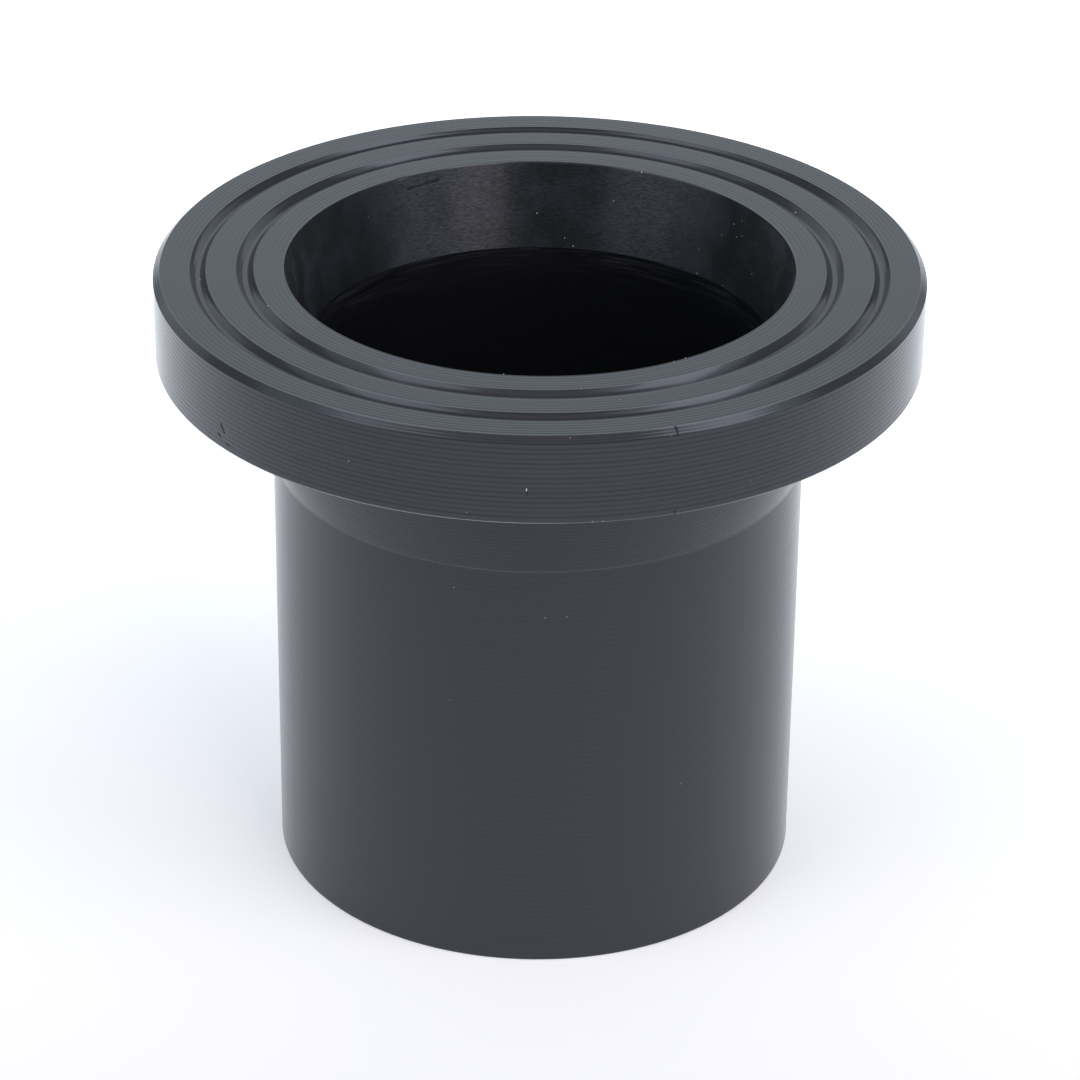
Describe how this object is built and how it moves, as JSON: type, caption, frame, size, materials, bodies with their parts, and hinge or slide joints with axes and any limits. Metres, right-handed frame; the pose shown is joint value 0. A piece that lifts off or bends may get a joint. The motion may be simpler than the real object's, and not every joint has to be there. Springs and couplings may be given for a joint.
{
  "type": "lap joint stub end",
  "caption": "Turned polyethylene stub end: a round flange with a grooved sealing face on a plain spigot that is fused to a pipe.",
  "frame": {"origin": "middle of the spigot's end, on which the part stands", "axes": "+Z along the axis of the bore, from the spigot's end to the sealing face; X and Y are any two directions across it, with -Y towards the picture's camera"},
  "size_m": [0.158, 0.158, 0.134],
  "materials": {
    "black_polyethylene": "satin, with fine turning lines"
  },
  "bodies": {
    "root": {"stub_end": "black_polyethylene"}
  },
  "joints": []
}
